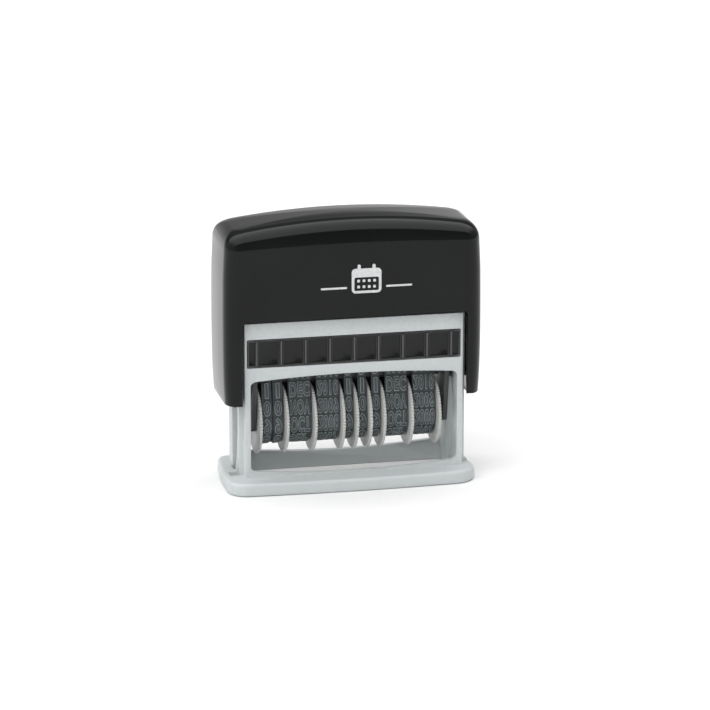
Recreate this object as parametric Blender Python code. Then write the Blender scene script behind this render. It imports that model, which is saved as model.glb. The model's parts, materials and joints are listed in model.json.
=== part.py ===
"""Rotary self-inking date stamp: base frame, sliding cap, flipping band carriage, nine index wheels and bands.

Blender part script. Row frame: X right, Y back, Z up, origin at the bottom centre of the bounding box.
All driving dimensions are in millimetres and are turned into metres when a mesh is made.
"""

import math

import bmesh
import bpy

MM = 0.001
CENTRE_Y = 2.75  # the tower stands this far behind the middle of the footprint

# Base frame
FLANGE_LEFT = 36.4
FLANGE_RIGHT = 34.8
FLANGE_FRONT = 18.9  # at the middle of its bowed front edge
FLANGE_BOW = 1.3
FLANGE_REAR = 12.0
FLANGE_H = 3.57
FLANGE_R_REAR = 3.0
PLATE_X = 31.0
TOWER_Y = 11.5
TOWER_TOP = 47.7
WALL = 1.5
RAIL_X = 32.15
RAIL_FRONT = -8.5
RAIL_REAR = 6.8
DECK_Z = 43.2
WINDOW_X = 29.4
PAD_WINDOW_X = 30.4
PAD_WINDOW_Z = (35.0, 43.2)
REAR_WINDOW_TOP = 29.4
REAR_FOOT_Y = 6.8

# Flip mechanism
TRAVEL = 20.45
TYPE_TOP = 34.9
TYPE_PRESSED = 0.05
PIVOT_Z = (TYPE_TOP + TYPE_PRESSED + TRAVEL) / 2
PIN_R = 1.5
PIN_CLEAR = 0.4
PEG_OFFSET = 4.6
PEG_R = 1.1
PEG_CLEAR = 0.35

# Wheels and bands
AXLE_Z = 17.2
AXLE_R = 1.5
BORE_R = 1.8
DISC_R = 9.8
DISC_T = 1.0
HUB_R = 5.8
TEETH = 24
TOOTH = 0.3
DISC_RIGHT_FACE = (5.5, 13.1, 21.1, 29.1, 33.0, 36.9, 40.8, 48.7, 56.6)
GAP = 0.3
BAND_INNER_R = 6.1
BAND_T = 0.6
TYPE_H = 0.45
CHARACTERS = 12
NOSE_HALF = 3.7
NOSE_R = 1.5

# Carriage
CHEEK_X = (26.8, 28.0)

# Pad cartridge
PAD_Z = (35.25, 42.9)
PAD_RIBS = 9

# Cap
CAP_INNER_X = 32.55
CAP_INNER_Y = 11.9
LEG_BOTTOM = 24.4
NOTCH_X = 31.9
NOTCH_TOP = 48.6
CEILING = 72.0
CROWN_TOP = 76.0
CROWN_DROP = 2.1
FULLNESS = 0.82  # below 1, the shoulder is fuller than a quarter circle

# Springs
SPRING_X = 18.0
SPRING_R = 2.6
WIRE_R = 0.45
SPRING_TURNS = 6
WELL_R = 3.5
WELL_Z = 44.5


for old in list(bpy.data.objects):
    bpy.data.objects.remove(old, do_unlink=True)
collection = bpy.context.scene.collection


def material(name, colour, roughness, metallic=0.0):
    made = bpy.data.materials.new(name)
    made.use_nodes = True
    shader = made.node_tree.nodes["Principled BSDF"]
    shader.inputs["Base Color"].default_value = (*colour, 1.0)
    shader.inputs["Roughness"].default_value = roughness
    shader.inputs["Metallic"].default_value = metallic
    made.diffuse_color = (*colour, 1.0)
    return made


FRAME_GREY = material("frame_grey_plastic", (0.53, 0.57, 0.57), 0.45)
DISC_GREY = material("wheel_grey_plastic", (0.50, 0.50, 0.48), 0.45)
BAND_RUBBER = material("band_rubber", (0.080, 0.095, 0.105), 0.6)
CAP_BLACK = material("cap_gloss_black", (0.022, 0.024, 0.026), 0.18)
PAD_BLACK = material("pad_black_plastic", (0.030, 0.034, 0.036), 0.35)
CARRIAGE_BLACK = material("carriage_black_plastic", (0.020, 0.022, 0.022), 0.45)
INK_FOAM = material("ink_foam", (0.015, 0.018, 0.045), 0.9)
STEEL = material("spring_steel", (0.55, 0.55, 0.56), 0.3, 1.0)


def new_object(name, verts, faces, look, origin=(0.0, 0.0, 0.0), smooth=False, angle=35.0):
    """Make a closed mesh from points in tower millimetres, with its origin at the given point."""
    mesh = bpy.data.meshes.new(name)
    mesh.from_pydata([[(v[i] - origin[i]) * MM for i in range(3)] for v in verts], [], faces)
    bm = bmesh.new()
    bm.from_mesh(mesh)
    bmesh.ops.remove_doubles(bm, verts=bm.verts, dist=1e-7)
    bmesh.ops.recalc_face_normals(bm, faces=bm.faces)
    bm.to_mesh(mesh)
    bm.free()
    if look:
        mesh.materials.append(look)
    made = bpy.data.objects.new(name, mesh)
    collection.objects.link(made)
    made.location = [c * MM for c in origin]
    if smooth:
        mesh.shade_smooth()
        mesh.set_sharp_from_angle(angle=math.radians(angle))
    return made


def stack(rings, wrap=False):
    """Join rings of equal length with quads. Ends get one flat face each, or wrap closes the stack on itself."""
    n = len(rings[0])
    verts = [point for ring in rings for point in ring]
    faces = []
    count = len(rings)
    for level in range(count if wrap else count - 1):
        a = level * n
        b = ((level + 1) % count) * n
        for i in range(n):
            j = (i + 1) % n
            faces.append((a + i, a + j, b + j, b + i))
    if not wrap:
        faces.append(tuple(reversed(range(n))))
        faces.append(tuple(range((count - 1) * n, count * n)))
    return verts, faces


def box(name, x, y, z, look=None, origin=(0.0, 0.0, 0.0)):
    rings = [[(x[0], y[0], k), (x[1], y[0], k), (x[1], y[1], k), (x[0], y[1], k)] for k in z]
    return new_object(name, *stack(rings), look, origin)


def prism_x(name, outline, x, look=None, origin=(0.0, 0.0, 0.0), smooth=False):
    """Extrude an outline of (y, z) points along X."""
    rings = [[(k, y, z) for y, z in outline] for k in x]
    return new_object(name, *stack(rings), look, origin, smooth)


def prism_y(name, outline, y, look=None):
    """Extrude an outline of (x, z) points along Y."""
    rings = [[(x, k, z) for x, z in outline] for k in y]
    return new_object(name, *stack(rings), look)


def circle(cy, cz, r, n):
    return [(cy + r * math.cos(2 * math.pi * i / n), cz + r * math.sin(2 * math.pi * i / n)) for i in range(n)]


def rod_x(name, cy, cz, r, x, n=24, look=None, origin=(0.0, 0.0, 0.0), smooth=False):
    return prism_x(name, circle(cy, cz, r, n), x, look, origin, smooth)


def ring_x(name, cy, cz, r_out, r_in, x, n, look, origin):
    """A flat washer on an X axis."""
    rings = []
    for k, r in ((x[0], r_out), (x[1], r_out), (x[1], r_in), (x[0], r_in)):
        rings.append([(k, y, z) for y, z in circle(cy, cz, r, n)])
    return new_object(name, *stack(rings, wrap=True), look, origin, smooth=True)


def rounded(points, radii, steps=5):
    """Round the corners of a polygon. Each corner takes its own radius, and 0 leaves it sharp."""
    out = []
    n = len(points)
    for i, (px, py) in enumerate(points):
        r = radii[i]
        if r <= 0:
            out.append((px, py))
            continue
        ax, ay = points[i - 1][0] - px, points[i - 1][1] - py
        bx, by = points[(i + 1) % n][0] - px, points[(i + 1) % n][1] - py
        la, lb = math.hypot(ax, ay), math.hypot(bx, by)
        ax, ay, bx, by = ax / la, ay / la, bx / lb, by / lb
        half = math.acos(max(-1.0, min(1.0, ax * bx + ay * by))) / 2
        reach = r / math.tan(half)
        mx, my = ax + bx, ay + by
        lm = math.hypot(mx, my)
        cx, cy = px + mx / lm * r / math.sin(half), py + my / lm * r / math.sin(half)
        start = math.atan2(py + ay * reach - cy, px + ax * reach - cx)
        end = math.atan2(py + by * reach - cy, px + bx * reach - cx)
        sweep = (end - start + math.pi) % (2 * math.pi) - math.pi
        for k in range(steps + 1):
            t = start + sweep * k / steps
            out.append((cx + r * math.cos(t), cy + r * math.sin(t)))
    return out


def boolean(target, tool, operation="DIFFERENCE"):
    modifier = target.modifiers.new(tool.name, "BOOLEAN")
    modifier.operation = operation
    modifier.solver = "EXACT"
    modifier.object = tool
    tool.hide_render = True
    tool.display_type = "WIRE"


def hull(points):
    """Convex hull of a set of 2-D points, counter-clockwise."""
    points = sorted(set((round(x, 5), round(y, 5)) for x, y in points))

    def half(seq):
        out = []
        for p in seq:
            while len(out) > 1 and (
                (out[-1][0] - out[-2][0]) * (p[1] - out[-2][1]) - (out[-1][1] - out[-2][1]) * (p[0] - out[-2][0])
            ) <= 1e-7:
                out.pop()
            out.append(p)
        return out[:-1]

    return half(points) + half(points[::-1])


# ---------------------------------------------------------------------------------------------- base frame


def flange_outline(inset):
    left, right, front, rear = -FLANGE_LEFT + inset, FLANGE_RIGHT - inset, -FLANGE_FRONT + inset, FLANGE_REAR - inset
    points = [(left, front + FLANGE_BOW)]
    radii = [5.5 - inset]
    for i in range(1, 10):
        x = left + (right - left) * i / 10
        points.append((x, front + FLANGE_BOW * (1 - 2 * i / 10) ** 2))
        radii.append(0)
    points += [(right, front + FLANGE_BOW), (right - 1.2, rear), (left + 1.6, rear), (left, -2.0)]
    radii += [7.0 - inset, FLANGE_R_REAR - inset, FLANGE_R_REAR - inset, 30.0]
    return rounded(points, radii, 6)


levels = ((0.0, 0.5), (0.35, 0.1), (0.7, 0.0), (2.7, 0.15), (3.25, 0.38), (FLANGE_H, 0.9))
flange_rings = [[(x, y, z) for x, y in flange_outline(inset)] for z, inset in levels]
frame = new_object("base_frame", *stack(flange_rings), FRAME_GREY, smooth=True, angle=40)

boolean(frame, box("cut_tower", (-PLATE_X, PLATE_X), (-TOWER_Y, TOWER_Y), (1.0, TOWER_TOP)), "UNION")
boolean(frame, box("cut_rails", (-RAIL_X, RAIL_X), (RAIL_FRONT, RAIL_REAR), (1.2, TOWER_TOP - 0.4)), "UNION")
inner_x = PLATE_X - WALL
inner_y = TOWER_Y - WALL
# The inner face of the rear wall slopes in towards its foot.
inner = [(-inner_y, -1.0), (REAR_FOOT_Y, -1.0), (REAR_FOOT_Y, 0.0), (inner_y, 4.2), (inner_y, DECK_Z), (-inner_y, DECK_Z)]
boolean(frame, prism_x("cut_interior", inner, (-inner_x, inner_x)))
for side in (-1, 1):
    edges = sorted((side * 28.3, side * (inner_x + 0.4)))
    boolean(frame, box("cut_ledge_%d" % (side + 2), edges, (-9.4, 9.4), (34.1, 35.0)), "UNION")


def arched_window(half_x, low_end, low_mid, high_end, high_mid, corner):
    """An opening whose lower and upper edges bow outward between rounded corners."""
    steps = 8
    points = []
    radii = []
    for i in range(steps + 1):
        x = -half_x + 2 * half_x * i / steps
        points.append((x, low_mid + (low_end - low_mid) * (x / half_x) ** 2))
        radii.append(corner if i in (0, steps) else 0)
    for i in range(steps + 1):
        x = half_x - 2 * half_x * i / steps
        points.append((x, high_mid + (high_end - high_mid) * (x / half_x) ** 2))
        radii.append(corner if i in (0, steps) else 0)
    return rounded(points, radii, 4)


front_cut = (-TOWER_Y - 1.0, -inner_y + 0.5)
rear_cut = (inner_y - 0.5, TOWER_Y + 1.0)
boolean(frame, prism_y("cut_front_window", arched_window(WINDOW_X, 5.3, 3.75, 31.0, 32.2, 1.6), front_cut))
low, high = PAD_WINDOW_Z
corners = [(-PAD_WINDOW_X, low), (PAD_WINDOW_X, low), (PAD_WINDOW_X, high), (-PAD_WINDOW_X, high)]
boolean(frame, prism_y("cut_pad_window", rounded(corners, [0.5] * 4, 3), front_cut))
rear_window = arched_window(inner_x, 5.3, 3.75, REAR_WINDOW_TOP, REAR_WINDOW_TOP, 1.0)
boolean(frame, prism_y("cut_rear_window", rear_window, rear_cut))

slot_points = []
for i in range(25):
    turn = math.pi * i / 24
    y = -PEG_OFFSET * math.sin(turn)
    z = PIVOT_Z - TRAVEL * i / 24 + PEG_OFFSET * math.cos(turn)
    slot_points += circle(y, z, PEG_R + PEG_CLEAR, 24)
for z in (PIVOT_Z, PIVOT_Z - TRAVEL):
    slot_points += circle(0.0, z, PIN_R + PIN_CLEAR, 24)
slot_outline = hull(slot_points)
for side in (-1, 1):
    edges = sorted((side * (inner_x - 0.5), side * (RAIL_X + 0.5)))
    boolean(frame, prism_x("cut_slot_%d" % (side + 2), slot_outline, edges))
    edges = sorted((side * (RAIL_X - 0.05), side * 34.7))
    boolean(frame, box("cut_pocket_%d" % (side + 2), edges, (-8.4, -4.8), (2.0, 5.0)))
    well = []
    for z in (WELL_Z, TOWER_TOP + 1.0):
        well.append([(side * SPRING_X + x, y, z) for x, y in circle(0.0, 0.0, WELL_R, 24)])
    boolean(frame, new_object("cut_well_%d" % (side + 2), *stack(well), None))

# ------------------------------------------------------------------------------------------ pad cartridge

low, high = PAD_Z
cartridge = box("pad_cartridge", (-30.1, 30.1), (-11.3, -10.1), (low, high), PAD_BLACK, (0.0, -11.3, 39.0))
boolean(cartridge, box("cut_pad_body", (-29.2, 29.2), (-10.4, 9.4), (low, 42.6)), "UNION")
boolean(cartridge, box("cut_pad_tray", (-27.7, 27.7), (-9.1, 8.2), (low - 1.0, 41.4)))
pitch = 6.9
for i in range(PAD_RIBS):
    x = (i - (PAD_RIBS - 1) / 2) * pitch
    rib = [(-11.6, low + 0.4), (-11.6, high - 0.4), (-11.0, high - 0.2), (-11.0, low + 0.2)]
    boolean(cartridge, prism_x("cut_pad_rib_%d" % i, rib, (x - 0.3, x + 0.3)), "UNION")
box("ink_pad", (-27.4, 27.4), (-8.8, 7.9), (low, 41.1), INK_FOAM, (0.0, -11.3, 39.0))

# --------------------------------------------------------------------------------------------------- cap


def plan_ring(half_x, half_y, corner, height):
    """One rounded-rectangle ring with points spread along its long edges. height gives z at an x."""
    steps = 5
    long_points = 8
    out = []
    corners = ((1, 1, 0), (-1, 1, 90), (-1, -1, 180), (1, -1, 270))
    for k, (sx, sy, start) in enumerate(corners):
        cx, cy = sx * (half_x - corner), sy * (half_y - corner)
        for i in range(steps + 1):
            t = math.radians(start + 90 * i / steps)
            out.append((cx + corner * math.cos(t), cy + corner * math.sin(t)))
        if k in (0, 2):
            for i in range(1, long_points):
                out.append((cx - sx * 2 * (half_x - corner) * i / long_points, sy * half_y))
    return [(x, y, height(x)) for x, y in out]


def crown(x):
    return CROWN_TOP - CROWN_DROP * (x / 30.0) ** 2


cap_rings = []
for z, half_x, half_y in ((18.0, 35.8, 12.9), (24.6, 36.15, 13.05), (31.0, 36.45, 13.2), (40.0, 36.6, 13.35),
                          (50.0, 36.6, 13.4), (60.0, 36.5, 13.4), (65.0, 36.3, 13.35)):
    cap_rings.append(plan_ring(half_x, half_y, 5.0, lambda x, z=z: z))
SHOULDER = 68.0
for step in range(8):
    t = math.radians(90 * step / 7)
    c, s = math.cos(t) ** FULLNESS, math.sin(t) ** FULLNESS
    half_x, half_y = 32.0 + 4.15 * c, 5.8 + 7.5 * c
    cap_rings.append(plan_ring(half_x, half_y, 2.4 + 2.6 * c, lambda x, s=s: SHOULDER + (crown(x) - SHOULDER) * s))
for k in (0.66, 0.3):
    cap_rings.append(plan_ring(32.0 * k, 5.8 * k, 2.4 * k, crown))
cap = new_object("cap_shell", *stack(cap_rings), CAP_BLACK, smooth=True, angle=50)

cavity = []
for z, half_x, half_y in ((10.0, CAP_INNER_X, CAP_INNER_Y), (68.3, CAP_INNER_X, CAP_INNER_Y)):
    cavity.append(plan_ring(half_x, half_y, 0.8, lambda x, z=z: z))
for step in range(1, 5):
    t = math.radians(90 * step / 4)
    c, s = math.cos(t), math.sin(t)
    cavity.append(plan_ring(CAP_INNER_X - 3.0 * (1 - c), CAP_INNER_Y - 3.7 * (1 - c), 0.8,
                            lambda x, s=s: 68.3 + (CEILING - 68.3) * s))
boolean(cap, new_object("cut_cavity", *stack(cavity), None))

corners = [(-NOTCH_X, 10.0), (NOTCH_X, 10.0), (NOTCH_X, NOTCH_TOP), (-NOTCH_X, NOTCH_TOP)]
boolean(cap, prism_y("cut_notch", rounded(corners, [0, 0, 1.2, 1.2], 4), (-16.0, 16.0)))
feet = [(-20.0, 10.0), (20.0, 10.0), (20.0, 50.0), (13.9, 50.0), (13.9, LEG_BOTTOM), (-13.9, LEG_BOTTOM),
        (-13.9, 30.0), (-20.0, 30.0)]
feet = rounded(feet, [0, 0, 0, 0, 5.0, 2.0, 0, 0], 7)
boolean(cap, prism_x("cut_feet", feet, (-40.0, 40.0)))
for side in (-1, 1):
    edges = sorted((side * 32.0, side * 34.7))
    boolean(cap, rod_x("cut_pin_hole_%d" % (side + 2), 0.0, PIVOT_Z, PIN_R + PIN_CLEAR, edges, 28))

# ------------------------------------------------------------------------------------------------ springs


def spring(name, x):
    """A coil of round wire standing between the frame's well and the cap's ceiling."""
    z0, z1 = WELL_Z + GAP + WIRE_R, CEILING - GAP - WIRE_R
    steps = SPRING_TURNS * 8
    rings = []
    for i in range(steps + 1):
        turn = 2 * math.pi * SPRING_TURNS * i / steps
        z = z0 + (z1 - z0) * i / steps
        ring = []
        for k in range(6):
            a = 2 * math.pi * k / 6
            r = SPRING_R + WIRE_R * math.cos(a)
            ring.append((x + r * math.cos(turn), r * math.sin(turn), z + WIRE_R * math.sin(a)))
        rings.append(ring)
    return new_object(name, *stack(rings), STEEL, (x, 0.0, TOWER_TOP), smooth=True, angle=75)


spring("spring_left", -SPRING_X)
spring("spring_right", SPRING_X)

# ----------------------------------------------------------------------------------------------- carriage

pivot = (0.0, 0.0, PIVOT_Z)
CHEEK = [(-5.3, 14.8), (5.3, 14.8), (8.2, 31.3), (3.0, 33.8), (-3.0, 33.8), (-8.2, 31.3)]
for side, word in ((-1, "left"), (1, "right")):
    outline = rounded(CHEEK, [1.2, 1.2, 1.6, 1.5, 1.5, 1.6], 3)
    edges = sorted(side * v for v in CHEEK_X)
    cheek = prism_x("carriage_cheek_" + word, outline, edges, CARRIAGE_BLACK, pivot)
    edges = sorted((side * 27.4, side * 34.3))
    boolean(cheek, rod_x("cut_pivot_pin_" + word, 0.0, PIVOT_Z, PIN_R, edges), "UNION")
    edges = sorted((side * 27.4, side * 31.9))
    boolean(cheek, rod_x("cut_cam_peg_" + word, 0.0, PIVOT_Z + PEG_OFFSET, PEG_R, edges, 20), "UNION")
    edges = sorted((side * 26.0, side * 28.7))
    boolean(cheek, rod_x("cut_axle_hole_" + word, 0.0, AXLE_Z, BORE_R, edges))
    for y in (-2.3, 2.3):
        boolean(cheek, rod_x("cut_dowel_hole_%s_%d" % (word, y > 0), y, 29.9, 1.0, edges, 16))
    edges = sorted((side * 28.3, side * 28.9))
    ring_x("axle_clip_" + word, 0.0, AXLE_Z, 2.6, BORE_R, edges, 24, STEEL, pivot)

nose_top = TYPE_TOP - BAND_T - TYPE_H
section = [(-1.4, 27.4), (1.4, 27.4), (1.4, 28.6), (3.2, 28.6), (3.2, nose_top - GAP), (-3.2, nose_top - GAP),
           (-3.2, 28.6), (-1.4, 28.6)]
section = rounded(section, [0.5, 0.5, 0.4, 0.3, 2.2, 2.2, 0.3, 0.4], 3)
bridge = prism_x("type_bridge", section, (-26.5, 26.5), CARRIAGE_BLACK, pivot)
for y in (-2.3, 2.3):
    boolean(bridge, rod_x("cut_dowel_%d" % (y > 0), y, 29.9, 0.7, (-27.8, 27.8), 16), "UNION")
rod_x("wheel_axle", 0.0, AXLE_Z, AXLE_R, (-29.0, 29.0), 24, STEEL, pivot, smooth=True)
ring_x("axle_washer", 0.0, AXLE_Z, 3.0, BORE_R, (25.9, 26.5), 24, STEEL, pivot)

# ------------------------------------------------------------------------------------------ wheels, bands

disc_right = [v - PLATE_X for v in DISC_RIGHT_FACE]
disc_left = [v - DISC_T for v in disc_right]
split = (disc_right[0] + disc_left[1]) / 2


def hub_span(i):
    """X range that wheel i's hub covers beside its disc."""
    if i == 0:
        return disc_right[0], split - GAP / 2
    if i == 1:
        return split + GAP / 2, disc_left[1]
    return disc_right[i - 1] + GAP, disc_left[i]


def wheel(i):
    """A disc with a serrated rim and a hub that carries its band."""
    n = TEETH * 2
    low, high = hub_span(i)
    if i == 0:
        stations = ((disc_left[i], "rim"), (disc_right[i], "rim"), (disc_right[i], "hub"), (high, "hub"),
                    (high, "bore"), (disc_left[i], "bore"))
    else:
        stations = ((low, "hub"), (disc_left[i], "hub"), (disc_left[i], "rim"), (disc_right[i], "rim"),
                    (disc_right[i], "bore"), (low, "bore"))
    rings = []
    for x, kind in stations:
        ring = []
        for k in range(n):
            r = {"rim": DISC_R - (TOOTH if k % 2 else 0.0), "hub": HUB_R, "bore": BORE_R}[kind]
            t = 2 * math.pi * k / n
            ring.append((x, r * math.cos(t), AXLE_Z + r * math.sin(t)))
        rings.append(ring)
    centre = ((disc_left[i] + disc_right[i]) / 2, 0.0, AXLE_Z)
    return new_object("wheel_%d" % (i + 1), *stack(rings, wrap=True), DISC_GREY, centre)


def belt_path():
    """Straight and round pieces of the band's inner path, starting at the top centre and going to the front."""
    zc = nose_top - NOSE_R
    yc = NOSE_HALF - NOSE_R
    drop = zc - AXLE_Z
    reach = math.hypot(yc, drop)
    # The side run is tangent to both circles on the front side.
    lean = math.asin((BAND_INNER_R - NOSE_R) / reach) - math.atan2(yc, drop)
    out_dir = math.pi - lean
    run = math.sqrt(reach ** 2 - (BAND_INNER_R - NOSE_R) ** 2)
    pieces = [("line", (0.0, nose_top), (-1.0, 0.0), yc)]
    pieces.append(("arc", (-yc, zc), NOSE_R, math.pi / 2, out_dir))
    start = (-yc + NOSE_R * math.cos(out_dir), zc + NOSE_R * math.sin(out_dir))
    along = (-math.sin(out_dir), math.cos(out_dir))
    if along[1] > 0:
        along = (-along[0], -along[1])
    pieces.append(("line", start, along, run))
    pieces.append(("arc", (0.0, AXLE_Z), BAND_INNER_R, out_dir, 1.5 * math.pi))
    return pieces


HALF_PATH = belt_path()
HALF_LENGTH = sum(p[3] if p[0] == "line" else p[2] * (p[4] - p[3]) for p in HALF_PATH)


def on_path(s):
    """Point and outward normal at distance s along the band from the top centre."""
    s = s % (2 * HALF_LENGTH)
    mirror = s > HALF_LENGTH
    if mirror:
        s = 2 * HALF_LENGTH - s
    for piece in HALF_PATH:
        length = piece[3] if piece[0] == "line" else piece[2] * (piece[4] - piece[3])
        if s <= length + 1e-9 or piece is HALF_PATH[-1]:
            break
        s -= length
    if piece[0] == "line":
        (y, z), (ty, tz) = piece[1], piece[2]
        point, normal = (y + ty * s, z + tz * s), (tz, -ty)
        if normal[1] < 0 and abs(normal[0]) < 1e-6:
            normal = (-normal[0], -normal[1])
        if abs(normal[0]) > 1e-6 and normal[0] > 0:
            normal = (-normal[0], -normal[1])
    else:
        t = piece[3] + s / piece[2]
        normal = (math.cos(t), math.sin(t))
        point = (piece[1][0] + piece[2] * normal[0], piece[1][1] + piece[2] * normal[1])
    if mirror:
        return (-point[0], point[1]), (-normal[0], normal[1])
    return point, normal


def band(i):
    """A closed rubber band with twelve raised type pads round its outside."""
    low, high = hub_span(i)
    if i == 0:
        low = low + GAP
    else:
        high = high - GAP
    pitch = 2 * HALF_LENGTH / CHARACTERS
    half = 0.41 * pitch
    marks = []
    for k in range(CHARACTERS):
        s = k * pitch
        top = BAND_T + TYPE_H
        marks += [(s - half, BAND_T), (s - half, top), (s, top), (s + half, top), (s + half, BAND_T),
                  (s + pitch / 2, BAND_T)]
    outer, inner = [], []
    for s, rise in marks:
        (y, z), (ny, nz) = on_path(s)
        outer.append((y + ny * rise, z + nz * rise))
        inner.append((y, z))
    rings = [[(x, y, z) for y, z in loop] for x, loop in
             ((low, outer), (high, outer), (high, inner), (low, inner))]
    centre = ((low + high) / 2, 0.0, AXLE_Z)
    return new_object("band_%d" % (i + 1), *stack(rings, wrap=True), BAND_RUBBER, centre)


for index in range(len(disc_right)):
    wheel(index)
    band(index)

for obj in bpy.context.scene.objects:
    obj.location.y += CENTRE_Y * MM
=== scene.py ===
"""Looks of the rotary self-inking date stamp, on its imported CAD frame.

Pieces are drawn in tower millimetres: X right, Y back, Z up, with Y = 0 in the middle of the frame's tower,
which is CENTRE_Y behind the origin. new_object() turns them into metres. An outline is a list of points in
two of these.
"""

import json
import math

import bmesh
import bpy
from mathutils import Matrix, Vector

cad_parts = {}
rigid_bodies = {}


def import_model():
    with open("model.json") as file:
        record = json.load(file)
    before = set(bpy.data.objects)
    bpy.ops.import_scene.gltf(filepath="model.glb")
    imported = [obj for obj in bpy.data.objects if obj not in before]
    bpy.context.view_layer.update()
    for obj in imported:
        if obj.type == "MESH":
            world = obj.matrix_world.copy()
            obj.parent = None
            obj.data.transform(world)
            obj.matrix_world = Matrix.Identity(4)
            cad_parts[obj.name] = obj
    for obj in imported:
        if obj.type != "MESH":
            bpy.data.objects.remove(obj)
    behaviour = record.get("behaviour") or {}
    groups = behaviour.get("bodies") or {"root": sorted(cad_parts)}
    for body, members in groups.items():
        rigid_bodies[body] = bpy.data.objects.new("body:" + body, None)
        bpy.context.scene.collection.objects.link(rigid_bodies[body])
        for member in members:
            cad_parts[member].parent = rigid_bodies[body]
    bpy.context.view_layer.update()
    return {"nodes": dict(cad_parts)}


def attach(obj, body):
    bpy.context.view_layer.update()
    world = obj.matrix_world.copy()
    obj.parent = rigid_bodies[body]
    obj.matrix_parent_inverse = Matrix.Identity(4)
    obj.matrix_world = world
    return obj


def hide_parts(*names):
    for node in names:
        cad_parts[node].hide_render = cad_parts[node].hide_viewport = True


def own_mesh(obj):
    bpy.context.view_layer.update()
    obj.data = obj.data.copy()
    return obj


for old in list(bpy.data.objects):
    bpy.data.objects.remove(old, do_unlink=True)
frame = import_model()
nodes = frame["nodes"]
scene = bpy.context.scene
collection = scene.collection

MM = 0.001
CENTRE_Y = 2.75
TYPE_TOP = 34.9  # the printing faces, with the cap up
TRAVEL = 20.45  # the cap's stroke
PIVOT_Z = 27.7  # the carriage's pivot pins, with the cap up
AXLE_Z = 17.2  # the wheels' axle, with the cap up
SIDES = (-1, 1)

# ------------------------------------------------------------------------------------ shader nodes


def map_range(tree, source, from_low, from_high, to_low, to_high, kind="LINEAR"):
    node = tree.nodes.new("ShaderNodeMapRange")
    node.interpolation_type = kind
    sockets = (("From Min", from_low), ("From Max", from_high), ("To Min", to_low), ("To Max", to_high))
    for socket, value in sockets:
        node.inputs[socket].default_value = value
    tree.links.new(source, node.inputs["Value"])
    return node.outputs["Result"]


def colour_ramp(tree, source, stops):
    node = tree.nodes.new("ShaderNodeValToRGB")
    elements = node.color_ramp.elements
    while len(elements) < len(stops):
        elements.new(0.5)
    for element, (at, colour) in zip(elements, stops):
        element.position = at
        element.color = (*colour, 1.0)
    tree.links.new(source, node.inputs["Fac"])
    return node.outputs["Color"]


class Nodes:
    """A new material and short ways to add the nodes used here. Textures run in object space, in metres."""

    def __init__(self, name):
        self.mat = bpy.data.materials.new(name)
        self.mat.use_nodes = True
        self.tree = self.mat.node_tree
        self.shader = self.tree.nodes["Principled BSDF"]
        self.coord = self.tree.nodes.new("ShaderNodeTexCoord").outputs["Object"]

    def noise(self, scale, detail=3.0, rough=0.5):
        node = self.tree.nodes.new("ShaderNodeTexNoise")
        for socket, value in (("Scale", scale), ("Detail", detail), ("Roughness", rough)):
            node.inputs[socket].default_value = value
        self.tree.links.new(self.coord, node.inputs["Vector"])
        return node.outputs["Fac"]

    def ramp(self, source, low, high, at=(0.3, 0.7)):
        """Colour low up to the first place in at, and colour high from the second."""
        return colour_ramp(self.tree, source, list(zip(at, (low, high))))

    def span(self, source, low, high):
        """The middle of a noise, spread from low to high."""
        return map_range(self.tree, source, 0.3, 0.7, low, high)

    def mix(self, factor, a, b):
        node = self.tree.nodes.new("ShaderNodeMix")
        node.data_type = "RGBA"
        for socket, source in (("Factor", factor), ("A", a), ("B", b)):
            self.tree.links.new(source, node.inputs[socket])
        return node.outputs["Result"]

    def bump(self, source, strength, distance, normal=None):
        node = self.tree.nodes.new("ShaderNodeBump")
        node.inputs["Strength"].default_value = strength
        node.inputs["Distance"].default_value = distance
        self.tree.links.new(source, node.inputs["Height"])
        if normal is not None:
            self.tree.links.new(normal, node.inputs["Normal"])
        return node.outputs["Normal"]

    def set(self, **values):
        """Set the shader's sockets. A plain value goes straight on its socket."""
        for key, value in values.items():
            socket = self.shader.inputs[key.replace("_", " ")]
            if hasattr(value, "is_linked"):
                self.tree.links.new(value, socket)
            else:
                socket.default_value = value


# --------------------------------------------------------------------------------------- materials

FLAT_POINTINESS, EDGE_POINTINESS = 0.5, 0.56
EDGE_PALE_LEVEL = 0.85  # what convex edges pale towards


def moulded(name, colour, rough, vary, grain, edge, spec=0.5):
    """Moulded plastic: faint flow marks, spark-eroded grain, uneven gloss, and convex edges paler by edge."""
    m = Nodes(name)
    dark = [c * (1 - vary) for c in colour]
    light = [c * (1 + vary) for c in colour]
    pale_edge_colour = [c + (EDGE_PALE_LEVEL - c) * edge for c in colour]
    flow = m.ramp(m.noise(55.0, 4.0, 0.6), dark, light, at=(0.35, 0.65))
    pale_edge_mottle = m.ramp(m.noise(900.0, 2.0), [c * 0.92 for c in pale_edge_colour], pale_edge_colour)
    pointiness = m.tree.nodes.new("ShaderNodeNewGeometry").outputs["Pointiness"]
    on_edge = map_range(m.tree, pointiness, FLAT_POINTINESS, EDGE_POINTINESS, 0.0, 1.0)
    fine = m.bump(m.noise(5200.0, 2.0), strength=grain, distance=0.00002)
    m.set(
        Base_Color=m.mix(on_edge, flow, pale_edge_mottle),
        Roughness=m.span(m.noise(160.0, 5.0), rough - 0.06, rough + 0.06),
        Normal=m.bump(m.noise(420.0, 3.0), strength=0.08, distance=0.0001, normal=fine),
        Specular_IOR_Level=spec,
    )
    return m.mat


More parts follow.
